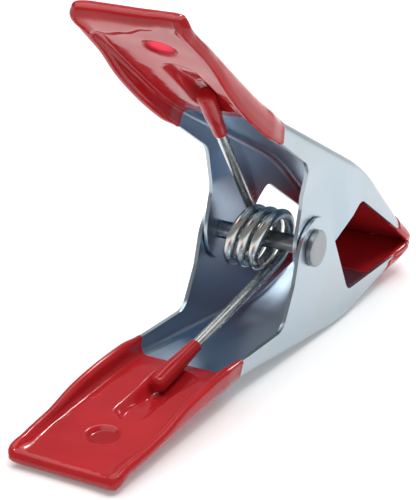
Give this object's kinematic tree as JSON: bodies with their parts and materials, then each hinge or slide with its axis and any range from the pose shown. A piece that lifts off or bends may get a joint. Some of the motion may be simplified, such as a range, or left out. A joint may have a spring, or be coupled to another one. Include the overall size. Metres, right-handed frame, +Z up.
{
  "type": "spring clamp",
  "caption": "Hand spring clamp: two channel jaws on one rivet, held shut by a torsion spring with straight legs, with dipped soft grips, tips and leg sleeves.",
  "frame": {"origin": "middle of the overall box at the height of the surface that the closed clamp lies on", "axes": "+X from the handles to the jaw tips, +Y along the pivot rivet, +Z up"},
  "size_m": [0.1732, 0.035, 0.1076],
  "materials": {
    "zinc_steel": "bright zinc plate on pressed sheet, lightly scuffed",
    "rivet_steel": "bright zinc plate, smooth head",
    "spring_wire": "bright drawn spring wire",
    "dipped_vinyl": "glossy dipped soft vinyl with drips and soft edges"
  },
  "bodies": {
    "lower": {"lower_jaw": "zinc_steel", "pivot_rivet": "rivet_steel", "torsion_spring": "spring_wire", "lower_handle_grip": "dipped_vinyl", "lower_jaw_tip": "dipped_vinyl", "lower_leg_sleeve": "dipped_vinyl"},
    "upper": {"upper_jaw": "zinc_steel", "upper_handle_grip": "dipped_vinyl", "upper_jaw_tip": "dipped_vinyl", "upper_leg_sleeve": "dipped_vinyl"}
  },
  "joints": [
    {"name": "jaw_pivot", "type": "hinge", "parent": "lower", "child": "upper", "pos_m": [0.01395, 0, 0.02939], "axis": [0, -1, 0], "range_deg": [0, 45], "stiffness_Nm_per_rad": 4.3, "springref_deg": -57.3, "deforming": ["torsion_spring"]}
  ]
}
